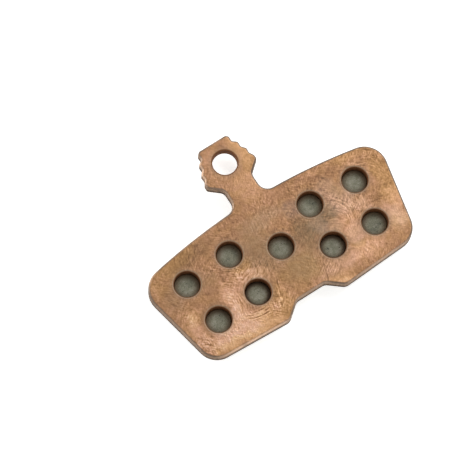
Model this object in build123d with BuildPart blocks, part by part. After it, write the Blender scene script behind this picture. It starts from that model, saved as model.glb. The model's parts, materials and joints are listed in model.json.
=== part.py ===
"""Bicycle disc brake pad: a stamped steel backing plate, copper plated, and one sintered friction block.

The block is keyed into nine round holes of the plate. The pad lies with its friction face down,
its long axis along X and its pin tab towards +Y. Lengths are in millimetres, angles in degrees.
"""

import os
from math import atan2, cos, radians, sin, tan

from build123d import *

os.makedirs("parts", exist_ok=True)

# Thicknesses and edges
plate_thickness = 2.0
friction_thickness = 2.1
plate_edge_radius = 0.4  # rolled rim of the back face, left by the press tool
hole_rim_width = 0.25  # shallow dish that the punch draws in round each hole
hole_rim_angle = 145.0  # cone angle of that dish

# Body of the plate, drawn about the centre key hole with +Y towards the tab
side_half_width = 22.16  # level with the centre key hole
fan_drop = 108.0  # the sides and the hole columns all point at a place this far below that hole
shoulder_height = 9.3  # top of the shoulder arc, on the centre line
shoulder_radius = 105.0
upper_corner_radius = 3.9
lower_corner_radius = 3.6
bottom_depth = 11.49  # where the two bottom edges would meet, on the centre line
bottom_rise = 3.0  # angle at which each bottom edge climbs to its corner

# Notch in the bottom edge
notch_depth = 2.52  # above the meeting place of the bottom edges
notch_half_width = 2.75  # along its flat top
notch_ramp = 39.0  # angle of its two ramps
notch_radius = 1.5

# Tab that hangs on the retaining pin
pin_height = 16.93  # pin hole above the centre key hole
pin_hole_diameter = 4.2
tab_rise = 3.92  # flat top of the tab above the pin hole
tab_top_half_width = 2.55
neck_half_width = 2.72
neck_foot_radius = 1.8  # where the neck meets the shoulder
neck_top_radius = 1.3
underside_angle = 40.0  # slope from the lowest tooth in to the neck

# Saw teeth along both flanks of the tab
tooth_count = 4
tooth_pitch = 1.76  # along the arc that the tips follow
tooth_land = 0.95  # straight stretch below each tip
tooth_undercut = 0.05
tooth_radius = 0.45
flank_radius = 16.0  # of the arc that the tips follow
flank_lean = 10.4  # of that arc at the lowest tip
lowest_tip_half_width = 4.85
lowest_tip_drop = 1.43  # below the pin hole
lowest_land = 0.76

# Key holes: one at the centre and two leaning columns on each side of it
key_hole_diameter = 4.4
key_row_spacing = 7.83
inner_column_x = 7.65
inner_column_drop = 0.5  # middle of the column below the centre key hole
outer_column_x = 15.88
outer_column_drop = 0.96

# Friction block and the lugs that key it to the plate
friction_inset = 0.8  # from the edge of the plate's body
friction_chamfer = 0.3
lug_height = 0.3  # of each lug inside its key hole
lug_clearance = 0.03  # radial, in the key hole
lug_edge_chamfer = 0.15


def key_places():
    """Centres of the key holes, which the lugs share."""
    places = [(0, 0)]
    for column_x, column_drop in ((inner_column_x, inner_column_drop), (outer_column_x, outer_column_drop)):
        lean = atan2(column_x, fan_drop - column_drop)
        for row in (-key_row_spacing / 2, key_row_spacing / 2):
            x = column_x + row * sin(lean)
            y = row * cos(lean) - column_drop
            places += [(-x, y), (x, y)]
    return places


def tooth_tips():
    """Tips of the saw teeth on the right flank, from the lowest one up."""
    lean = radians(flank_lean)
    centre_x = lowest_tip_half_width - flank_radius * cos(lean)
    centre_y = pin_height - lowest_tip_drop - flank_radius * sin(lean)
    angles = [lean + tooth * tooth_pitch / flank_radius for tooth in range(tooth_count)]
    return [(centre_x + flank_radius * cos(angle), centre_y + flank_radius * sin(angle)) for angle in angles]


def corner_pairs(outline, places):
    """The corners of an outline nearest to these places on its right half, and those on its left half."""
    return [outline.vertices().sort_by_distance((side * x, y))[0] for x, y in places for side in (-1, 1)]


# Outline of the body: leaning sides, an arched shoulder, and a notch in the bottom edge
bottom_slope = tan(radians(bottom_rise))
lower_corner_x = side_half_width * (fan_drop - bottom_depth) / (fan_drop - side_half_width * bottom_slope)
lower_corner_y = lower_corner_x * bottom_slope - bottom_depth
upper_corner_x = side_half_width * (1 + shoulder_height / fan_drop)
notch_top = notch_depth - bottom_depth
notch_mouth_half_width = notch_half_width + notch_depth / tan(radians(notch_ramp))

with BuildSketch() as body_outline:
    Polygon(
        (0, -bottom_depth),
        (lower_corner_x, lower_corner_y),
        (upper_corner_x, shoulder_height),
        (-upper_corner_x, shoulder_height),
        (-lower_corner_x, lower_corner_y),
        align=None,
    )
    with Locations((0, shoulder_height - shoulder_radius)):
        Circle(shoulder_radius, mode=Mode.INTERSECT)
    fillet(body_outline.vertices().group_by(Axis.Y)[-1], upper_corner_radius)
    fillet(body_outline.vertices().group_by(Axis.Y)[1], lower_corner_radius)
    Polygon(
        (-notch_mouth_half_width, -bottom_depth),
        (notch_mouth_half_width, -bottom_depth),
        (notch_half_width, notch_top),
        (-notch_half_width, notch_top),
        align=None,
        mode=Mode.SUBTRACT,
    )
    notch_corners = [(notch_mouth_half_width, -bottom_depth), (notch_half_width, notch_top)]
    fillet(corner_pairs(body_outline, notch_corners), notch_radius)

# Outline of the whole plate: the body and, on a narrow neck, the tab with its saw teeth
tips = tooth_tips()
lowest_tip_x, lowest_tip_y = tips[0]
underside_y = lowest_tip_y - lowest_land
neck_top = underside_y - (lowest_tip_x - neck_half_width) * tan(radians(underside_angle))
tab_top = pin_height + tab_rise

tab_flank = [(neck_half_width, 0), (neck_half_width, neck_top), (lowest_tip_x, underside_y), tips[0]]
for tip_x, tip_y in tips[1:]:
    tab_flank += [(tip_x - tooth_undercut, tip_y - tooth_land), (tip_x, tip_y)]
tab_flank.append((tab_top_half_width, tab_top))

with BuildSketch() as plate_outline:
    add(body_outline.sketch)
    Polygon(*tab_flank, *[(-x, y) for x, y in reversed(tab_flank)], align=None)
    fillet(corner_pairs(plate_outline, [(neck_half_width, shoulder_height)]), neck_foot_radius)
    fillet(corner_pairs(plate_outline, [(neck_half_width, neck_top)]), neck_top_radius)
    fillet(corner_pairs(plate_outline, tab_flank[2:]), tooth_radius)

# The pad's origin lies under the middle of that outline
outline_middle = plate_outline.sketch.bounding_box().center().Y
friction_plane = Plane((0, -outline_middle, 0))
bond_plane = friction_plane.offset(friction_thickness)
back_plane = bond_plane.offset(plate_thickness)

# Backing plate
with BuildPart() as backing_plate:
    with BuildSketch(bond_plane):
        add(plate_outline.sketch)
    extrude(amount=plate_thickness)
    with Locations(back_plane):
        for places, diameter in ((key_places(), key_hole_diameter), ([(0, pin_height)], pin_hole_diameter)):
            with Locations(*places):
                rim_radius = diameter / 2 + hole_rim_width
                CounterSinkHole(diameter / 2, rim_radius, counter_sink_angle=hole_rim_angle)
    back_face = backing_plate.faces().sort_by(Axis.Z)[-1]
    fillet(back_face.outer_wire().edges(), plate_edge_radius)

backing_plate.part.label = "backing_plate"
export_step(backing_plate.part, "parts/backing_plate.step")

# Friction block, with a lug for each key hole
with BuildPart() as friction_material:
    with BuildSketch(friction_plane):
        add(body_outline.sketch)
        offset(amount=-friction_inset)
    extrude(amount=friction_thickness)
    chamfer(friction_material.faces().sort_by(Axis.Z)[0].edges(), friction_chamfer)
    with BuildSketch(bond_plane):
        with Locations(*key_places()):
            Circle(key_hole_diameter / 2 - lug_clearance)
    extrude(amount=lug_height)
    chamfer(friction_material.edges().group_by(Axis.Z)[-1], lug_edge_chamfer)

friction_material.part.label = "friction_material"
export_step(friction_material.part, "parts/friction_material.step")
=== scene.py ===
"""Finish of a bicycle disc brake pad, laid on its friction face in soft studio light.

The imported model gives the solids, in metres. This script gives each of them the surface of the
real material: worn copper plating on the stamped backing plate, and sintered metal on the friction
block that shows in the plate's holes. Then it sets up the floor, the light and the camera.
"""

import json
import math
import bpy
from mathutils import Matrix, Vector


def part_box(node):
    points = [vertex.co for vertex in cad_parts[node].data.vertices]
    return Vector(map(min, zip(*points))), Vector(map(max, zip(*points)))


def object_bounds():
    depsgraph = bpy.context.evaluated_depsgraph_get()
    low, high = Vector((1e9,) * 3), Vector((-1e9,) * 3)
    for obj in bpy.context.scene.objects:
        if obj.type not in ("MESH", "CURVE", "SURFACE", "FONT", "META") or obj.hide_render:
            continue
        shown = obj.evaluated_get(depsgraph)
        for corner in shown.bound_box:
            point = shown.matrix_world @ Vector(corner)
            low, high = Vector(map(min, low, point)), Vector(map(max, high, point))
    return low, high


bl_info = {
    "name": "Disc Brake Pad Finish",
    "version": (1, 0, 0),
    "blender": (4, 5, 0),
    "location": "3D View > Sidebar > Brake Pad",
    "description": "Finishes a stamped and plated disc brake pad and lays it out on a pale floor",
    "category": "Object",
}

import bpy
from bpy.props import FloatProperty, FloatVectorProperty, PointerProperty
from mathutils import Matrix, Vector

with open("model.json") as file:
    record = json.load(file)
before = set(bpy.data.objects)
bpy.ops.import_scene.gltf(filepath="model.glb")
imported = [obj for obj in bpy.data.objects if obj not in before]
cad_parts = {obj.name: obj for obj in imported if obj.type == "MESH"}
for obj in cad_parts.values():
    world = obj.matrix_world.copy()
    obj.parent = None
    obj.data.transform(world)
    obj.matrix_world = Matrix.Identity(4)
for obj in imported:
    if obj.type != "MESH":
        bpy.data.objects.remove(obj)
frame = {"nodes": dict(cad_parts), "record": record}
cad_low, cad_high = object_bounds()

MM = 0.001
BACK_FACE = cad_high.z
BOND_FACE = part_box("backing_plate")[0].z

# Sockets of a Mix node for colours, by number because it has other sockets with the same names
MIX_A, MIX_B, MIX_OUT = 6, 7, 2

# Rings on the plate round each hole: how far from the axis they begin, and how far from it they are full
HALO_RING = (3.4 * MM, 2.75 * MM)
DISHED_RING = (2.75 * MM, 2.65 * MM)
LIP_RING = (2.34 * MM, 2.22 * MM)
HALO_STRAY = 0.4 * MM  # unevenness of the halo's edge

# Rings on the lug in each hole, given in the same way: brown oxide, partly painted shade near the wall,
# then a darker ring of painted shade; and the heights where a lug leaves the block
OXIDE_AND_SHADE_RING = (1.1 * MM, 2.5 * MM)
PAINTED_SHADE_RING = (1.65 * MM, 2.35 * MM)
OXIDE_AND_SHADE_STRAY = 0.6 * MM  # unevenness of both rings' edges
LUG_FOOT = (BOND_FACE + 0.05 * MM, BOND_FACE + 0.1 * MM)

# Unevenness of the torn band's upper edge on the plate's walls, and how softly the band begins
TORN_STRAY = 0.9 * MM
TORN_FADE = 0.1 * MM

# Worn places on the back of the plate: middle x and y, half length and half width in
# millimetres, turn in degrees, and the change of tone, above 0 for burnished and below 0 for
# tarnished plating, which comes last
WORN_PLACES = (
    (-7.6, -6.2, 4.4, 1.9, -22, 0.20),
    (-11.4, -8.2, 1.8, 3.2, 8, 0.30),
    (-13.6, -13.2, 7.0, 2.6, -4, 0.36),
    (-8.8, -12.2, 2.8, 1.2, -10, 0.16),
    (-18.9, -7.2, 1.6, 1.3, 20, 0.24),
    (-19.5, -9.5, 1.5, 2.2, 10, 0.22),
    (-4.6, -13.0, 2.2, 1.0, 0, 0.14),
    (11.6, -6.4, 3.6, 2.0, 38, 0.12),
    (13.2, -3.4, 1.9, 1.7, 60, 0.06),
    (18.9, -10.6, 2.0, 3.0, 10, 0.19),
    (11.2, -12.8, 5.5, 1.7, 4, 0.20),
    (5.4, -12.6, 2.0, 1.4, 0, 0.06),
    (1.2, 6.6, 2.6, 3.4, 0, 0.10),
    (0.0, 12.2, 5.4, 5.0, 0, 0.04),
    (3.2, 12.6, 1.6, 3.2, 0, 0.16),
    (20.0, -3.0, 2.0, 2.5, -8, 0.06),
    (-3.8, -10.9, 1.2, 1.1, 20, 0.14),
    (0.0, 0.6, 4.0, 1.6, 0, 0.05),
    (5.5, -15.0, 1.8, 1.0, 0, 0.27),
    (11.5, -9.5, 1.6, 2.0, 0, 0.15),
    (20.5, -8.0, 1.2, 2.0, 10, 0.18),
    (-7.0, -15.0, 2.2, 1.0, -3, 0.18),
    (15.5, -6.0, 1.6, 1.2, 0, 0.14),
    (-12.0, -10.5, 1.5, 1.5, 0, 0.18),
    (-21.5, 0.5, 1.2, 2.0, 0, 0.12),
    (18.0, 1.5, 2.0, 1.0, -10, 0.08),
    (-2.0, 14.5, 1.5, 1.2, 0, 0.10),
    (4.6, -4.9, 2.4, 3.3, 6, -0.20),
    (9.2, -4.3, 1.7, 1.2, 12, -0.20),
    (-4.0, -3.5, 2.0, 2.0, 0, -0.08),
    (-13.5, 1.5, 3.5, 1.5, 8, -0.12),
    (11.5, 1.5, 3.5, 1.3, -7, -0.10),
    (18.0, -6.3, 1.5, 1.0, 15, -0.08),
    (-4.0, -6.5, 1.5, 1.5, 0, -0.12),
    (-10.5, -4.5, 1.3, 1.3, 0, -0.10),
    (7.5, -5.5, 1.8, 1.3, 0, -0.13),
    (4.5, -0.5, 1.6, 1.5, 0, -0.12),
)

# Golden places, where the plating is yellower than elsewhere, placed in the same way, with their share
GOLDEN_PLACES = (
    (21.0, -4.0, 2.0, 5.0, -8, 1.0),
    (18.0, 2.4, 4.0, 1.8, -12, 0.7),
    (3.4, 12.0, 2.0, 4.0, 0, 0.8),
    (0.4, 6.6, 2.4, 3.0, 0, 0.2),
    (0.4, -9.8, 4.0, 3.0, 0, 0.8),
    (-5.0, -14.2, 5.0, 1.4, 0, 0.8),
    (-15.0, -14.5, 5.0, 1.2, -4, 0.8),
    (-19.0, 1.6, 3.6, 3.0, 30, 0.5),
    (-7.4, -4.2, 2.2, 1.2, 0, 0.7),
    (5.0, -14.5, 2.4, 1.4, -30, 0.5),
    (-15.0, 2.5, 4.0, 1.2, 8, 0.7),
    (-8.5, -12.5, 2.5, 1.2, 0, 0.6),
    (-18.5, -7.5, 2.0, 1.5, 0, 0.5),
    (19.0, -12.0, 2.0, 2.5, 10, 0.6),
    (-10.0, -15.0, 3.5, 1.0, -3, 0.6),
    (-4.5, -11.5, 1.5, 1.8, 0, 0.7),
    (13.0, -1.0, 1.4, 1.6, 0, 0.4),
    (11.5, -11.5, 2.0, 1.0, 0, 0.6),
)

# Greenish tarnish, placed in the same way, with its share of the colour
OLIVE_PLACES = (
    (-3.5, -3.5, 3.5, 5.0, 0, 0.8),
    (1.6, -9.2, 4.2, 3.4, 0, 0.8),
    (5.4, -4.8, 3.0, 3.2, 0, 1.0),
    (9.4, -4.3, 2.2, 1.6, 0, 0.9),
    (-13.0, 1.9, 6.0, 1.6, 6, 0.25),
    (0.0, 0.8, 4.0, 1.6, 0, 0.6),
    (-19.6, -3.0, 1.8, 2.4, 0, 0.5),
    (-13.4, -3.0, 2.4, 2.0, 0, 0.4),
)

# Thin places, where the steel greys the plating, placed in the same way, with its share of the colour
THIN_PLACES = (
    (12.6, -3.8, 3.2, 2.4, 20, 0.12),
    (18.9, -10.8, 2.0, 2.8, 10, 0.12),
    (6.5, -12.6, 4.0, 1.5, 0, 0.06),
    (11.5, -0.5, 2.0, 2.0, 0, 0.10),
    (0.0, 0.6, 4.0, 1.8, 0, 0.03),
    (8.5, -6.5, 2.2, 1.4, -20, 0.10),
    (4.5, -0.5, 1.8, 1.6, 0, 0.10),
    (11.5, -10.0, 2.0, 2.0, 0, 0.09),
    (15.5, -6.0, 1.6, 1.2, 0, 0.08),
    (7.0, -5.0, 2.0, 1.5, 0, 0.08),
)

# Smooth places, where marks are faint, placed in the same way, with what they take off the marks
SMOOTH_PLACES = (
    (0.0, 12.2, 6.0, 5.5, 0, -0.5),
    (0.0, 6.5, 3.4, 3.4, 0, -0.35),
)

# Flaked places, where rubbing has broken the tarnish into bright strokes, placed in the same way
FLAKED_PLACES = (
    (-7.4, -5.4, 5.0, 2.0, -14, 0.8),
    (-3.8, -11.0, 1.5, 1.6, 20, 1.0),
    (-11.0, -7.6, 1.8, 3.4, 8, 0.3),
    (-18.6, -7.1, 1.8, 1.6, 20, 0.5),
    (-5.0, -13.2, 3.4, 1.2, 0, 0.7),
    (12.6, -4.6, 3.6, 3.4, 30, 0.5),
    (19.6, 0.6, 2.6, 2.4, 0, 0.4),
    (5.2, -12.6, 2.4, 1.4, -20, 0.5),
    (-19.2, -12.0, 1.6, 2.0, 10, 0.7),
    (-12.0, -2.6, 2.0, 2.0, 0, 0.2),
)

# Arcs that a turning part has scored: the middle of their circles, then the place that they cross,
# given in the same way, with the strength of the marks
SCORED_ARCS = (
    (-8.1, -6.4, (-9.2, -12.4, 2.5, 1.0, -14, 1.0)),
    (-7.37, -9.24, (-10.8, -9.2, 0.5, 1.3, 0, 0.5)),
    (17.0, -9.0, (18.0, -6.7, 1.3, 0.7, 0, 0.3)),
)

# Stretches of the rolled edge that carry a painted highlight where they face the low lamps, placed in the
# same way, with their share
PAINTED_GLINT_EDGES = (
    (-4.2, 12.8, 1.8, 3.6, 12, 1.0),
    (-21.4, 3.6, 2.2, 3.2, 35, 0.9),
    (-11.0, 4.2, 8.0, 1.4, 6, 0.5),
    (0.0, 16.0, 2.6, 0.8, 0, 0.4),
    (-12.0, -15.6, 8.0, 1.2, -3, 1.0),
    (12.5, -15.6, 7.0, 1.2, 3, 0.6),
    (-21.0, -7.0, 2.2, 7.0, 11, 0.32),
    (0.0, -13.6, 5.0, 1.4, 0, 0.38),
    (-2.8, 6.8, 1.2, 3.4, 0, 0.4),
)

# Holes with a dark ring of painted shade round the lug, placed in the same way, with the strength of the
# ring
PAINTED_SHADE_HOLES = (
    (-7.4, -9.2, 6.0, 6.0, 0, 1.0),
    (7.4, -9.2, 6.0, 6.0, 0, 0.8),
)

# Directions of the brushed strokes, in degrees from the pad's long axis
STROKE_TURNS = (38, 76, -42)


def linear(hex_colour):
    """The linear colour of an sRGB hex value, with full alpha."""
    channels = [int(hex_colour[start : start + 2], 16) / 255 for start in (1, 3, 5)]
    return [c / 12.92 if c <= 0.04045 else ((c + 0.055) / 1.055) ** 2.4 for c in channels] + [1.0]


def colour_setting(name, description, hex_colour):
    """A colour that the user can change."""
    return FloatVectorProperty(
        name=name,
        description=description,
        default=linear(hex_colour),
        subtype="COLOR",
        size=4,
        min=0.0,
        max=1.0,
    )


def length_setting(name, description, millimetres):
    """A length that the user can change."""
    return FloatProperty(
        name=name, description=description, default=millimetres * MM, min=0.01 * MM, unit="LENGTH"
    )


def add_node(tree, kind, inputs=None, out=0, **settings):
    """Adds a node with these settings, fills or links its inputs, and returns one of its outputs."""
    node = tree.nodes.new("ShaderNode" + kind)
    for name, value in settings.items():
        setattr(node, name, value)
    for name, value in (inputs or {}).items():
        socket = node.inputs[name]
        if isinstance(value, bpy.types.NodeSocket):
            tree.links.new(value, socket)
        else:
            socket.default_value = value
    return node.outputs[out] if node.outputs else None


def new_material(name):
    """An empty node material and its tree."""
    material = bpy.data.materials.new(name)
    material.use_nodes = True
    material.node_tree.nodes.clear()
    return material, material.node_tree


def lug_middles():
    """Middles of the lugs' tops, read from the highest vertices of the friction block."""
    same_height = 0.01 * MM
    same_lug = 1.5 * MM
    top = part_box("friction_material")[1].z
    block = frame["nodes"]["friction_material"].data
    loose = [vertex.co for vertex in block.vertices if vertex.co.z > top - same_height]
    middles = []
    while loose:
        rim = [loose.pop()]
        for seed in rim:
            near = [corner for corner in loose if (corner - seed).length < same_lug]
            loose = [corner for corner in loose if corner not in near]
            rim += near
        middles.append(Vector([(min(axis) + max(axis)) / 2 for axis in zip(*rim)]))
    return middles


def distance_to_holes(tree, place):
    """How far a point lies from the axis of the nearest hole."""
    pin_hole = next(mount["pos_m"] for mount in frame["record"]["mounts"] if mount["name"] == "pin_hole")
    flat = add_node(tree, "VectorMath", {0: place, 1: (1.0, 1.0, 0.0)}, operation="MULTIPLY")
    nearest = None
    for middle in [*lug_middles(), Vector(pin_hole)]:
        axis = (middle.x, middle.y, 0)
        away = add_node(tree, "VectorMath", {0: flat, 1: axis}, "Value", operation="DISTANCE")
        if nearest is None:
            nearest = away
        else:
            nearest = add_node(tree, "Math", {0: nearest, 1: away}, operation="MINIMUM")
    return nearest


def soft_places(tree, coordinates, places, start=0.0):
    """Adds soft elliptical spots to a starting value, each of them strongest in its middle.

    A spot keeps its strength out to about a third of its half length and width, then fades to nothing
    a little way beyond them.
    """
    core, reach = 0.35, 1.3
    total = start
    for x, y, half_length, half_width, turn, strength in places:
        spot = add_node(
            tree,
            "Mapping",
            {
                "Vector": coordinates,
                "Location": (x * MM, y * MM, 0),
                "Rotation": (0, 0, math.radians(turn)),
                "Scale": (reach * half_length * MM, reach * half_width * MM, 1),
            },
            vector_type="TEXTURE",
        )
        inside = add_node(tree, "TexGradient", {"Vector": spot}, "Fac", gradient_type="SPHERICAL")
        share = add_node(
            tree,
            "MapRange",
            {"Value": inside, "From Max": 1 - core / reach, "To Max": strength},
            interpolation_type="SMOOTHSTEP",
        )
        total = add_node(tree, "Math", {0: total, 1: share}, operation="ADD")
    return total


def brushed_strokes(tree, bent, rulers, width, length):
    """Short strokes, above and below 0, in a few directions that each rule their own patches."""
    total = 0.0
    rulers = add_node(tree, "SeparateColor", {0: rulers}).node.outputs
    for turn, ruler in zip(STROKE_TURNS, rulers):
        along = add_node(
            tree,
            "Mapping",
            {"Vector": bent, "Rotation": (0, 0, math.radians(turn)), "Scale": (length, width, length)},
            vector_type="TEXTURE",
        )
        strokes = add_node(
            tree, "TexNoise", {"Vector": along, "Scale": 1.0, "Detail": 1.5, "Roughness": 0.6}
        )
        strokes = add_node(tree, "Math", {0: strokes, 1: 0.5}, operation="SUBTRACT")
        share = add_node(
            tree, "MapRange", {"Value": ruler, "From Min": -0.1, "From Max": 0.1, "To Min": 0.15}
        )
        total = add_node(tree, "Math", {0: strokes, 1: share, 2: total}, operation="MULTIPLY_ADD")
    return total


def scored_arcs(tree, place, spacing, length):
    """Broken lines that run round a few middles, 1 in the middle of a line.

    One noise makes the lines wander across their arc and breaks them off where it is low.
    """
    total = 0.0
    for x, y, crossed in SCORED_ARCS:
        middle = (x * MM, y * MM, BACK_FACE)
        spot = add_node(tree, "VectorMath", {0: place, 1: middle}, operation="SUBTRACT")
        across = add_node(tree, "VectorMath", {0: spot}, "Value", operation="LENGTH")
        parts = add_node(tree, "SeparateXYZ", {0: spot})
        angle = add_node(tree, "Math", {0: parts.node.outputs["Y"], 1: parts}, operation="ARCTAN2")
        radius = math.hypot(crossed[0] - x, crossed[1] - y) * MM
        line = add_node(tree, "Math", {0: across, 1: spacing}, operation="DIVIDE")
        along = add_node(tree, "Math", {0: angle, 1: radius / length}, operation="MULTIPLY")
        polar = add_node(tree, "CombineXYZ", {0: line, 1: along, 2: x})
        breaks = add_node(tree, "TexNoise", {"Vector": polar, "Scale": 1.0, "Detail": 1.0})
        line = add_node(tree, "Math", {0: breaks, 1: 0.5, 2: line}, operation="MULTIPLY_ADD")
        line = add_node(tree, "Math", {0: line, 1: 0.5}, operation="PINGPONG")
        line = add_node(tree, "MapRange", {"Value": line, "From Min": 0.2, "From Max": 0.36})
        share = add_node(tree, "MapRange", {"Value": breaks, "From Min": 0.38, "From Max": 0.5})
        line = add_node(tree, "Math", {0: line, 1: share}, operation="MULTIPLY")
        share = soft_places(tree, place, [crossed])
        total = add_node(tree, "Math", {0: line, 1: share, 2: total}, operation="MULTIPLY_ADD")
    return total


def copper_plated_steel(finish):
    """Copper plated steel, stamped from sheet: warm, satin, blotched and brushed by handling.

    The eye sees pink copper where the plating is rubbed bright, brown and olive tarnish elsewhere,
    thin pale rims where edges are worn to the steel, a painted highlight on stretches of the outer edge
    and dull painted shade on the rest of it, dragged walls where the press sheared it, and
    brown oxide in the holes.
    """
    material, tree = new_material("copper_plated_steel_worn")
    place = add_node(tree, "TexCoord", out="Object")
    level = add_node(tree, "SeparateXYZ", {0: place}, "Z")
    normal = add_node(tree, "NewGeometry", out="Normal")
    facing = add_node(tree, "SeparateXYZ", {0: normal}, "Z")
    from_hole = distance_to_holes(tree, place)

    # Places drift a little, so that no blotch has a clean edge, and strokes bend
    drift = add_node(
        tree, "TexNoise", {"Vector": place, "Scale": 1 / finish.drift_size, "Detail": 4.0}, "Color"
    )
    drift = add_node(tree, "VectorMath", {0: drift, 1: (0.5, 0.5, 0.5)}, operation="SUBTRACT")
    stir = {0: drift, 1: (finish.drift_reach, finish.drift_reach, 0), 2: place}
    ragged = add_node(tree, "VectorMath", stir, operation="MULTIPLY_ADD")
    swirl = add_node(
        tree, "TexNoise", {"Vector": place, "Scale": 1 / finish.swirl_size, "Detail": 1.0}, "Color"
    )
    swirl = add_node(tree, "VectorMath", {0: swirl, 1: (0.5, 0.5, 0.5)}, operation="SUBTRACT")
    stir = {0: swirl, 1: (finish.swirl_reach, finish.swirl_reach, 0), 2: place}
    bent = add_node(tree, "VectorMath", stir, operation="MULTIPLY_ADD")

    # Tone of the plating: worn places, blotches, mottling, brushed strokes and scored arcs
    worn = soft_places(tree, ragged, WORN_PLACES, finish.tone)
    blotches = add_node(
        tree, "TexNoise", {"Vector": ragged, "Scale": 1 / finish.blotch_size, "Detail": 5.0}
    )
    mottling = add_node(
        tree,
        "TexNoise",
        {"Vector": place, "Scale": 1 / finish.mottle_size, "Detail": 4.0, "Roughness": 0.65},
    )
    strokes = brushed_strokes(tree, bent, swirl, finish.stroke_width, finish.stroke_length)
    flaked = soft_places(tree, ragged, FLAKED_PLACES, 0.1)
    flakes = add_node(tree, "Math", {0: strokes, 1: flaked}, operation="MULTIPLY")
    flecks = add_node(
        tree, "TexNoise", {"Vector": bent, "Scale": 1 / finish.fleck_size, "Detail": 2.0, "Roughness": 0.7}
    )
    arcs = scored_arcs(tree, place, finish.score_spacing, finish.stroke_length)
    marks = -0.38
    for layer, share in ((mottling, 0.46), (flecks, 0.3), (strokes, 0.36)):
        marks = add_node(tree, "Math", {0: layer, 1: share, 2: marks}, operation="MULTIPLY_ADD")
    faint = soft_places(tree, ragged, SMOOTH_PLACES, 1.0)
    tone = add_node(tree, "Math", {0: marks, 1: faint, 2: worn}, operation="MULTIPLY_ADD")
    for layer, share in ((blotches, 0.2), (flakes, 1.2), (arcs, -0.42)):
        tone = add_node(tree, "Math", {0: layer, 1: share, 2: tone}, operation="MULTIPLY_ADD")
    ramp = add_node(tree, "ValToRGB", {0: tone})
    stops = ramp.node.color_ramp
    stops.elements[0].position = 0.05
    stops.elements[0].color = finish.stain_colour
    stops.elements[1].position = 0.95
    stops.elements[1].color = finish.burnished_colour
    stops.elements.new(0.28).color = finish.brown_colour
    stops.elements.new(0.48).color = finish.tan_colour
    stops.elements.new(0.68).color = finish.copper_colour

    # Hue of the plating: pink here and orange there, olive in the oldest tarnish
    warmth = add_node(tree, "TexNoise", {"Vector": bent, "Scale": 1 / finish.tint_size, "Detail": 4.0})
    warmth = add_node(
        tree, "MapRange", {"Value": warmth, "From Min": 0.38, "From Max": 0.62, "To Max": 0.5}
    )
    warmth = soft_places(tree, ragged, GOLDEN_PLACES, warmth)
    tint = add_node(
        tree,
        "Mix",
        {0: warmth, MIX_A: finish.pink_tint, MIX_B: finish.orange_tint},
        MIX_OUT,
        data_type="RGBA",
    )
    face = add_node(
        tree, "Mix", {0: 1.0, MIX_A: ramp, MIX_B: tint}, MIX_OUT, data_type="RGBA", blend_type="MULTIPLY"
    )
    olive = soft_places(tree, ragged, OLIVE_PLACES)
    olive = add_node(tree, "Math", {0: olive, 1: mottling}, operation="MULTIPLY", use_clamp=True)
    face = add_node(
        tree, "Mix", {0: olive, MIX_A: face, MIX_B: finish.olive_colour}, MIX_OUT, data_type="RGBA"
    )
    thin = soft_places(tree, ragged, THIN_PLACES)
    face = add_node(
        tree, "Mix", {0: thin, MIX_A: face, MIX_B: finish.steel_colour}, MIX_OUT, data_type="RGBA"
    )

    # Rims, where the normal turns from the face to the wall: dished at the holes, rolled outside
    rim = add_node(
        tree,
        "MapRange",
        {"Value": facing, "From Min": 0.995, "From Max": 0.92, "To Max": 0.8},
        interpolation_type="SMOOTHSTEP",
    )
    at_hole = add_node(
        tree, "MapRange", {"Value": from_hole, "From Min": DISHED_RING[0], "From Max": DISHED_RING[1]}
    )
    halo = add_node(tree, "Math", {0: mottling, 1: HALO_STRAY, 2: from_hole}, operation="MULTIPLY_ADD")
    halo = add_node(
        tree,
        "MapRange",
        {"Value": halo, "From Min": HALO_RING[0], "From Max": HALO_RING[1], "To Max": 0.16},
    )
    face = add_node(
        tree, "Mix", {0: halo, MIX_A: face, MIX_B: finish.edge_colour}, MIX_OUT, data_type="RGBA"
    )
    # Painted highlight on stretches of the rolled edge, over the dull edge colour that stands for their
    # shade
    bright = soft_places(tree, ragged, PAINTED_GLINT_EDGES)
    rim_colour = add_node(
        tree,
        "Mix",
        {0: bright, MIX_A: finish.edge_colour, MIX_B: finish.painted_glint_colour},
        MIX_OUT,
        data_type="RGBA",
    )
    rim_colour = add_node(
        tree,
        "Mix",
        {0: at_hole, MIX_A: rim_colour, MIX_B: finish.hole_rim_colour},
        MIX_OUT,
        data_type="RGBA",
    )
    face = add_node(tree, "Mix", {0: rim, MIX_A: face, MIX_B: rim_colour}, MIX_OUT, data_type="RGBA")
    lip = add_node(
        tree, "MapRange", {"Value": from_hole, "From Min": LIP_RING[0], "From Max": LIP_RING[1]}
    )
    face = add_node(
        tree, "Mix", {0: lip, MIX_A: face, MIX_B: finish.oxide_colour}, MIX_OUT, data_type="RGBA"
    )

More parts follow.
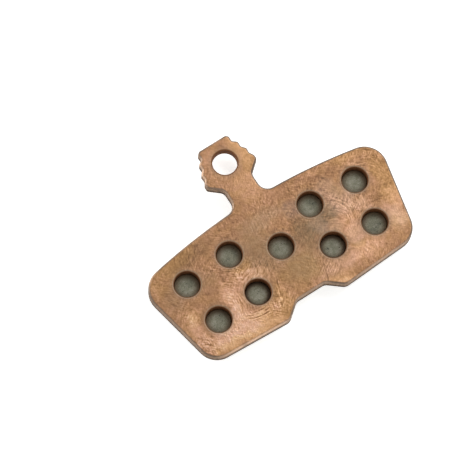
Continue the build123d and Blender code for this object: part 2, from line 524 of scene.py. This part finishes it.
    # Walls, dragged along the press stroke: sheared smooth near the back, torn below that, and oxidised
    # in the holes and on their lips, where the oxide hides the plating's shine
    upright = add_node(tree, "Math", {0: facing}, operation="ABSOLUTE")
    wall = add_node(
        tree,
        "MapRange",
        {"Value": upright, "From Min": 0.45, "From Max": 0.15},
        interpolation_type="SMOOTHSTEP",
    )
    stretched = add_node(tree, "VectorMath", {0: place, 1: (1.0, 1.0, 0.15)}, operation="MULTIPLY")
    drag = add_node(tree, "TexNoise", {"Vector": stretched, "Scale": 1 / finish.drag_width, "Detail": 3.0})
    torn_edge = add_node(tree, "Math", {0: drag, 1: TORN_STRAY, 2: level}, operation="MULTIPLY_ADD")
    torn_from = BOND_FACE + finish.torn_height + TORN_STRAY / 2
    torn = add_node(
        tree,
        "MapRange",
        {"Value": torn_edge, "From Min": torn_from + TORN_FADE, "From Max": torn_from - TORN_FADE},
    )
    wall_colour = add_node(
        tree,
        "Mix",
        {0: torn, MIX_A: finish.sheared_colour, MIX_B: finish.torn_colour},
        MIX_OUT,
        data_type="RGBA",
    )
    wall_colour = add_node(
        tree,
        "Mix",
        {0: at_hole, MIX_A: wall_colour, MIX_B: finish.oxide_colour},
        MIX_OUT,
        data_type="RGBA",
    )
    shade = add_node(
        tree, "MapRange", {"Value": drag, "From Min": 0.3, "From Max": 0.7, "To Min": 0.65, "To Max": 1.1}
    )
    wall_colour = add_node(tree, "VectorMath", {0: wall_colour, "Scale": shade}, operation="SCALE")
    colour = add_node(tree, "Mix", {0: wall, MIX_A: face, MIX_B: wall_colour}, MIX_OUT, data_type="RGBA")
    in_hole = add_node(tree, "Math", {0: at_hole, 1: wall}, operation="MULTIPLY")
    oxide = add_node(tree, "Math", {0: lip, 1: in_hole}, operation="MAXIMUM")
    metallic = add_node(tree, "MapRange", {"Value": oxide, "To Min": 1.0, "To Max": 0.2})

    # Satin where rubbed, duller where tarnished or torn
    roughness = add_node(
        tree, "MapRange", {"Value": tone, "From Min": 0.2, "From Max": 0.9, "To Min": 0.6, "To Max": 0.42}
    )
    dull = add_node(tree, "Math", {0: wall, 1: torn}, operation="MULTIPLY")
    dull = add_node(tree, "Math", {0: dull, 1: oxide}, operation="MAXIMUM")
    dull = add_node(tree, "Math", {0: rim, 1: at_hole, 2: dull}, operation="MULTIPLY_ADD", use_clamp=True)
    roughness = add_node(
        tree, "Mix", {"Factor": dull, "A": roughness, "B": 0.85}, "Result", data_type="FLOAT"
    )

    # Relief: strokes, scored lines and the plating's grain
    grain = add_node(tree, "TexNoise", {"Vector": place, "Scale": 1 / finish.grain_size, "Detail": 3.0})
    height = grain
    for layer, share in ((mottling, 1.0), (strokes, 1.6), (arcs, -0.8), (torn, -0.5), (drag, 0.8)):
        height = add_node(tree, "Math", {0: layer, 1: share, 2: height}, operation="MULTIPLY_ADD")
    bump = add_node(tree, "Bump", {"Height": height, "Strength": 0.6, "Distance": finish.relief})

    shader = add_node(
        tree,
        "BsdfPrincipled",
        {"Base Color": colour, "Metallic": metallic, "Roughness": roughness, "Normal": bump},
    )
    add_node(tree, "OutputMaterial", {"Surface": shader})
    return material


def sintered_friction_metal(finish):
    """Sintered metal powder, pressed and ground: matt, grey-green and granular.

    The eye sees packed grains of several greys, a few metal flecks, dark pits between them, brown
    oxide where a lug meets the wall of its hole, darkened further there as painted shade, and a darker
    ring of painted shade round a few of the lugs.
    """
    material, tree = new_material("sintered_metal_pressed")
    place = add_node(tree, "TexCoord", out="Object")
    level = add_node(tree, "SeparateXYZ", {0: place}, "Z")
    cells = add_node(tree, "TexVoronoi", {"Vector": place, "Scale": 1 / finish.grain_size}, "Color")
    kind = add_node(tree, "SeparateColor", {0: cells})
    powder = add_node(
        tree,
        "TexNoise",
        {"Vector": place, "Scale": 2 / finish.grain_size, "Detail": 4.0, "Roughness": 0.65},
    )
    clouds = add_node(tree, "TexNoise", {"Vector": place, "Scale": 1 / finish.cloud_size, "Detail": 3.0})

    # The face that meets the rotor is ground along the pad's length
    normal = add_node(tree, "NewGeometry", out="Normal")
    facing = add_node(tree, "SeparateXYZ", {0: normal}, "Z")
    ground = add_node(tree, "MapRange", {"Value": facing, "From Min": -0.9, "From Max": -0.99})
    drawn = add_node(tree, "VectorMath", {0: place, 1: (0.02, 1.0, 1.0)}, operation="MULTIPLY")
    lines = add_node(tree, "TexNoise", {"Vector": drawn, "Scale": 1 / finish.line_width, "Detail": 2.0})
    lines = add_node(tree, "Math", {0: lines, 1: 0.5}, operation="SUBTRACT")
    lines = add_node(tree, "Math", {0: lines, 1: ground}, operation="MULTIPLY")

    # Grains of several tones, with flecks and pits among them
    tone = 0.0
    for layer, share in ((kind, 0.15), (powder, 0.7), (clouds, 0.8), (lines, 0.6)):
        tone = add_node(tree, "Math", {0: layer, 1: share, 2: tone}, operation="MULTIPLY_ADD")
    ramp = add_node(tree, "ValToRGB", {0: tone})
    stops = ramp.node.color_ramp
    stops.elements[0].position = 0.55
    stops.elements[0].color = finish.dark_colour
    stops.elements[1].position = 1.0
    stops.elements[1].color = finish.pale_colour
    stops.elements.new(0.82).color = finish.body_colour
    bright = kind.node.outputs["Green"]
    fleck = add_node(tree, "MapRange", {"Value": bright, "From Min": 0.94, "From Max": 0.96})
    colour = add_node(
        tree, "Mix", {0: fleck, MIX_A: ramp, MIX_B: finish.fleck_colour}, MIX_OUT, data_type="RGBA"
    )
    pits = add_node(tree, "TexNoise", {"Vector": place, "Scale": 1 / finish.pit_size, "Detail": 1.0})
    pit = add_node(tree, "MapRange", {"Value": pits, "From Min": 0.3, "From Max": 0.24})
    colour = add_node(
        tree, "Mix", {0: pit, MIX_A: colour, MIX_B: finish.pit_colour}, MIX_OUT, data_type="RGBA"
    )

    # Oxide that the walls of the holes leave on the lugs, with painted shade that darkens a lug towards
    # its wall, and a ring of painted shade round a few lugs
    from_hole = distance_to_holes(tree, place)
    ragged = add_node(tree, "Math", {0: clouds, 1: OXIDE_AND_SHADE_STRAY, 2: from_hole}, operation="MULTIPLY_ADD")
    # Painted shade: a dark ring round the lugs of a few holes
    painted_shade_share = soft_places(tree, place, PAINTED_SHADE_HOLES)
    ring = add_node(
        tree,
        "MapRange",
        {"Value": ragged, "From Min": PAINTED_SHADE_RING[0], "From Max": PAINTED_SHADE_RING[1], "To Max": painted_shade_share},
        interpolation_type="SMOOTHSTEP",
    )
    # Brown oxide from the wall, with painted shade that darkens the lug towards the wall
    oxide_and_shade = add_node(
        tree,
        "MapRange",
        {"Value": ragged, "From Min": OXIDE_AND_SHADE_RING[0], "From Max": OXIDE_AND_SHADE_RING[1], "To Max": 0.9},
        interpolation_type="SMOOTHSTEP",
    )
    on_lug = add_node(
        tree, "MapRange", {"Value": level, "From Min": LUG_FOOT[0], "From Max": LUG_FOOT[1]}
    )
    oxide_and_shade = add_node(tree, "Math", {0: oxide_and_shade, 1: on_lug}, operation="MULTIPLY")
    colour = add_node(
        tree, "Mix", {0: oxide_and_shade, MIX_A: colour, MIX_B: finish.stain_colour}, MIX_OUT, data_type="RGBA"
    )
    ring = add_node(tree, "Math", {0: ring, 1: on_lug}, operation="MULTIPLY")
    colour = add_node(
        tree, "Mix", {0: ring, MIX_A: colour, MIX_B: finish.painted_shade_colour}, MIX_OUT, data_type="RGBA"
    )

    # Relief: grains, pits and ground lines
    height = add_node(tree, "Math", {0: pit, 1: -1.5, 2: powder}, operation="MULTIPLY_ADD")
    height = add_node(tree, "Math", {0: lines, 1: 1.5, 2: height}, operation="MULTIPLY_ADD")
    bump = add_node(tree, "Bump", {"Height": height, "Strength": 0.6, "Distance": finish.relief})
    shader = add_node(
        tree,
        "BsdfPrincipled",
        {"Base Color": colour, "Metallic": fleck, "Roughness": 0.72, "Normal": bump},
    )
    add_node(tree, "OutputMaterial", {"Surface": shader})
    return material


def matt_white_card(settings):
    """Matt white card: an even pale sheet that shows only the soft shadow of what lies on it.

    What looks at it, straight or in a reflection, gets a little more light than the card gives off.
    """
    material, tree = new_material("matt_white_card")
    path = add_node(tree, "LightPath", out="Is Camera Ray")
    seen = add_node(tree, "Math", {0: path, 1: path.node.outputs["Is Glossy Ray"]}, operation="ADD")
    seen = add_node(tree, "Math", {0: seen, 1: path.node.outputs["Is Transmission Ray"]}, operation="ADD")
    lift = add_node(tree, "Math", {0: seen, 1: settings.floor_lift}, operation="MULTIPLY")
    shader = add_node(
        tree,
        "BsdfPrincipled",
        {
            "Base Color": settings.floor_colour,
            "Roughness": 0.9,
            "Emission Color": (1.0, 1.0, 1.0, 1.0),
            "Emission Strength": lift,
        },
    )
    add_node(tree, "OutputMaterial", {"Surface": shader})
    return material


class BRAKEPAD_PG_plate(bpy.types.PropertyGroup):
    """Finish of the backing plate."""

    burnished_colour: colour_setting("Burnished", "Plating rubbed bright", "#E3BFA4")
    copper_colour: colour_setting("Copper", "Clean plating", "#C99F80")
    tan_colour: colour_setting("Tan", "Plating that has begun to tarnish", "#AE8866")
    brown_colour: colour_setting("Brown", "Tarnished plating", "#906E52")
    stain_colour: colour_setting("Stain", "Darkest tarnish", "#5F4A39")
    pink_tint: colour_setting("Pink Tint", "Filters the colour where the copper is clean", "#FFF7F8")
    orange_tint: colour_setting("Orange Tint", "Filters the colour where the tarnish is orange", "#FFFAE5")
    olive_colour: colour_setting("Olive", "Greenish tarnish", "#978063")
    steel_colour: colour_setting("Steel", "Steel that shows through thin plating", "#D0C4BA")
    hole_rim_colour: colour_setting("Hole Rims", "Dished rims of the holes", "#B8AA95")
    # The rolled edge away from the painted highlights: dark, as painted shade; it also greys the halo
    # round the holes
    edge_colour: colour_setting("Edge", "Outer edge, dull", "#7A6F66")
    # Painted highlight on stretches of the rolled edge
    painted_glint_colour: colour_setting("Bright Edge", "Outer edge, kept bright by handling", "#E7C5A9")
    sheared_colour: colour_setting("Sheared Wall", "Smooth upper part of the plate's edge", "#84664A")
    torn_colour: colour_setting("Torn Wall", "Rough lower part of the plate's edge", "#6A533F")
    oxide_colour: colour_setting("Oxide", "Walls of the holes", "#7E4D24")
    tone: FloatProperty(
        name="Tone",
        description="How clean the plating is on the whole, from stained to burnished",
        default=0.35,
        min=-1.0,
        max=1.0,
        subtype="FACTOR",
    )
    drift_size: length_setting("Drift Size", "Of the raggedness of a blotch's edge", 2.4)
    drift_reach: length_setting("Drift Reach", "How far a blotch's edge may stray, side to side", 3.2)
    swirl_size: length_setting("Swirl Size", "Of the bends in the brushed strokes", 5.0)
    swirl_reach: length_setting("Swirl Reach", "How far a bend may carry a stroke, side to side", 1.8)
    blotch_size: length_setting("Blotch Size", "Typical width of a tarnish blotch", 5.0)
    mottle_size: length_setting("Mottle Size", "Typical width of the mottling within a blotch", 0.8)
    tint_size: length_setting("Tint Size", "Typical width of a patch of pink or orange", 2.0)
    fleck_size: length_setting("Fleck Size", "Of the finest spots of tarnish", 0.42)
    stroke_width: length_setting("Stroke Width", "Of a brushed stroke, drawn coarse enough to show", 0.3)
    stroke_length: length_setting("Stroke Length", "Of a brushed stroke", 1.0)
    score_spacing: length_setting("Score Spacing", "Of scored lines, drawn coarse enough to show", 0.46)
    grain_size: length_setting("Grain Size", "Of the plating, drawn coarse enough to show", 0.28)
    drag_width: length_setting("Drag Width", "Of a line that the press drew down the wall", 0.3)
    torn_height: length_setting("Torn Height", "Of the rough part of the plate's edge", 0.9)
    relief: length_setting("Relief", "Depth of the strokes and the grain", 0.03)


class BRAKEPAD_PG_friction(bpy.types.PropertyGroup):
    """Finish of the friction block."""

    body_colour: colour_setting("Body", "Main tone of the pressed powder", "#8D8C76")
    dark_colour: colour_setting("Dark Grains", "Graphite-rich grains", "#626354")
    pale_colour: colour_setting("Pale Grains", "Hard pale grains", "#A9A694")
    fleck_colour: colour_setting("Metal Flecks", "Bright powder grains", "#A5A293")
    pit_colour: colour_setting("Pits", "Gaps between the grains", "#35342E")
    # Brown oxide from the hole's wall, and painted shade that darkens the lug towards it
    stain_colour: colour_setting("Stain", "Oxide that creeps in from the hole's wall", "#604729")
    # Painted shade: the dark ring round a few of the lugs
    painted_shade_colour: colour_setting("Ring", "Thick oxide round a few of the lugs", "#3A270F")
    grain_size: length_setting("Grain Size", "Of a powder grain, drawn coarse enough to show", 0.3)
    pit_size: length_setting("Pit Size", "Of a gap between grains", 0.4)
    cloud_size: length_setting("Cloud Size", "Of the paler and darker patches of powder", 1.6)
    line_width: length_setting("Line Width", "Of a line ground into the friction face", 0.25)
    relief: length_setting("Relief", "Depth of the grains and the pits", 0.05)


class BRAKEPAD_PG_stage(bpy.types.PropertyGroup):
    """Floor, light and camera."""

    floor_colour: colour_setting("Floor", "Colour of the card that the pad lies on", "#F5F5F3")
    floor_lift: FloatProperty(
        name="Floor Lift",
        description="Light added to the card for what looks at it, so that it shows white",
        default=0.66,
        min=0.0,
        max=1.0,
        subtype="FACTOR",
    )
    room_light: FloatProperty(
        name="Room Light", description="Even light from all round", default=0.4, min=0.0
    )
    key_power: FloatProperty(
        name="Key Power", description="Power of the large soft light", default=2.98, min=0.0, unit="POWER"
    )
    side_power: FloatProperty(
        name="Side Power",
        description="Power of the low light on the tab's side",
        default=1.0,
        min=0.0,
        unit="POWER",
    )
    front_power: FloatProperty(
        name="Front Power",
        description="Power of the low light on the notch's side",
        default=0.4,
        min=0.0,
        unit="POWER",
    )
    azimuth: FloatProperty(
        name="Azimuth",
        description="Direction of view round the pad, from +Y towards +X",
        default=math.radians(39.135),
        unit="ROTATION",
    )
    elevation: FloatProperty(
        name="Elevation",
        description="Height of the camera above the horizon",
        default=math.radians(75.184),
        unit="ROTATION",
    )
    roll: FloatProperty(
        name="Roll",
        description="Turn of the camera about its line of sight",
        default=math.radians(6.331),
        unit="ROTATION",
    )
    distance: FloatProperty(
        name="Distance", description="From the camera to its aim", default=0.52065, min=0.01, unit="LENGTH"
    )
    aim: FloatVectorProperty(
        name="Aim",
        description="Place on the back of the plate at the middle of the picture",
        default=(-5.77 * MM, 3.02 * MM, BACK_FACE),
        subtype="TRANSLATION",
        unit="LENGTH",
    )
    lens: FloatProperty(
        name="Focal Length", description="Of the camera's lens, in millimetres", default=253.2, min=1.0
    )


class BRAKEPAD_OT_plate_finish(bpy.types.Operator):
    """Gives the stamped backing plate its worn copper plating"""

    bl_idname = "brakepad.plate_finish"
    bl_label = "Plate Finish"

    def execute(self, context):
        plate = frame["nodes"]["backing_plate"]
        plate.material_slots[0].material = copper_plated_steel(context.scene.brakepad_plate)
        return {"FINISHED"}


class BRAKEPAD_OT_friction_finish(bpy.types.Operator):
    """Gives the friction block and its lugs their sintered surface"""

    bl_idname = "brakepad.friction_finish"
    bl_label = "Friction Finish"

    def execute(self, context):
        block = frame["nodes"]["friction_material"]
        block.material_slots[0].material = sintered_friction_metal(context.scene.brakepad_friction)
        return {"FINISHED"}


class BRAKEPAD_OT_stage(bpy.types.Operator):
    """Lays the card under the pad and sets up the light and the camera"""

    bl_idname = "brakepad.stage"
    bl_label = "Stage"

    floor_half_width = 12.0
    floor_gap = 0.02 * MM
    key_direction = Vector((0.92, 0.42, 1.2))
    key_distance = 0.75
    key_width = 0.5
    side_direction = Vector((-0.72, 0.7, 0.5))
    front_direction = Vector((0.2, -0.9, 0.6))
    low_distance = 0.6
    low_width = 0.2

    def execute(self, context):
        settings = context.scene.brakepad_stage
        context.scene.view_settings.view_transform = "Standard"
        self.lay_floor(context, settings)
        self.light_room(context, settings)
        for name, direction, distance, width, power in (
            ("key_light", self.key_direction, self.key_distance, self.key_width, settings.key_power),
            ("side_light", self.side_direction, self.low_distance, self.low_width, settings.side_power),
            ("front_light", self.front_direction, self.low_distance, self.low_width, settings.front_power),
        ):
            self.hang_light(context, name, direction, distance, width, power)
        self.place_camera(context, settings)
        return {"FINISHED"}

    def lay_floor(self, context, settings):
        """A large card just under the friction face."""
        reach = self.floor_half_width
        level = cad_low.z - self.floor_gap
        corners = [(x * reach, y * reach, level) for x, y in ((-1, -1), (1, -1), (1, 1), (-1, 1))]
        mesh = bpy.data.meshes.new("floor_card")
        mesh.from_pydata(corners, [], [(0, 1, 2, 3)])
        floor = bpy.data.objects.new("floor_card", mesh)
        mesh.materials.append(matt_white_card(settings))
        context.collection.objects.link(floor)

    def light_room(self, context, settings):
        """Even light from all round."""
        world = bpy.data.worlds.new("pale_room")
        world.use_nodes = True
        tree = world.node_tree
        tree.nodes.clear()
        background = add_node(
            tree, "Background", {"Color": (1.0, 1.0, 1.0, 1.0), "Strength": settings.room_light}
        )
        add_node(tree, "OutputWorld", {"Surface": background})
        context.scene.world = world

    def hang_light(self, context, name, direction, distance, width, power):
        """A square soft light that faces the pad."""
        lamp = bpy.data.lights.new(name, "AREA")
        lamp.shape = "SQUARE"
        lamp.size = width
        lamp.energy = power
        light = bpy.data.objects.new(name, lamp)
        light.location = direction.normalized() * distance
        light.rotation_mode = "QUATERNION"
        light.rotation_quaternion = direction.to_track_quat("Z", "Y")
        context.collection.objects.link(light)

    def place_camera(self, context, settings):
        """A long lens that looks down on the back of the plate."""
        around, above = settings.azimuth, settings.elevation
        level = math.cos(above)
        forward = Vector((math.sin(around) * level, math.cos(around) * level, -math.sin(above)))
        right = Vector((math.cos(around), -math.sin(around), 0))
        right = Matrix.Rotation(-settings.roll, 3, forward) @ right
        up = right.cross(forward)
        data = bpy.data.cameras.new("camera")
        data.lens = settings.lens
        camera = bpy.data.objects.new("camera", data)
        camera.matrix_world = Matrix((right, up, -forward)).transposed().to_4x4()
        camera.location = Vector(settings.aim) - forward * settings.distance
        context.collection.objects.link(camera)
        context.scene.camera = camera


class BRAKEPAD_PT_panel(bpy.types.Panel):
    """Lists the finishes and the stage, with the values that each of them uses"""

    bl_idname = "BRAKEPAD_PT_panel"
    bl_label = "Brake Pad"
    bl_space_type = "VIEW_3D"
    bl_region_type = "UI"
    bl_category = "Brake Pad"

    def draw(self, context):
        for operator, settings in (
            (BRAKEPAD_OT_plate_finish, context.scene.brakepad_plate),
            (BRAKEPAD_OT_friction_finish, context.scene.brakepad_friction),
            (BRAKEPAD_OT_stage, context.scene.brakepad_stage),
        ):
            section = self.layout.box()
            section.operator(operator.bl_idname)
            for name in settings.bl_rna.properties.keys():
                if name not in ("rna_type", "name"):
                    section.prop(settings, name)


CLASSES = (
    BRAKEPAD_PG_plate,
    BRAKEPAD_PG_friction,
    BRAKEPAD_PG_stage,
    BRAKEPAD_OT_plate_finish,
    BRAKEPAD_OT_friction_finish,
    BRAKEPAD_OT_stage,
    BRAKEPAD_PT_panel,
)


def register():
    for cls in CLASSES:
        bpy.utils.register_class(cls)
    bpy.types.Scene.brakepad_plate = PointerProperty(type=BRAKEPAD_PG_plate)
    bpy.types.Scene.brakepad_friction = PointerProperty(type=BRAKEPAD_PG_friction)
    bpy.types.Scene.brakepad_stage = PointerProperty(type=BRAKEPAD_PG_stage)


def unregister():
    del bpy.types.Scene.brakepad_stage
    del bpy.types.Scene.brakepad_friction
    del bpy.types.Scene.brakepad_plate
    for cls in reversed(CLASSES):
        bpy.utils.unregister_class(cls)


def main():
    """Registers the add-on, finishes each piece and sets up the stage."""
    register()
    bpy.ops.brakepad.plate_finish()
    bpy.ops.brakepad.friction_finish()
    bpy.ops.brakepad.stage()


if __name__ == "__main__":
    main()
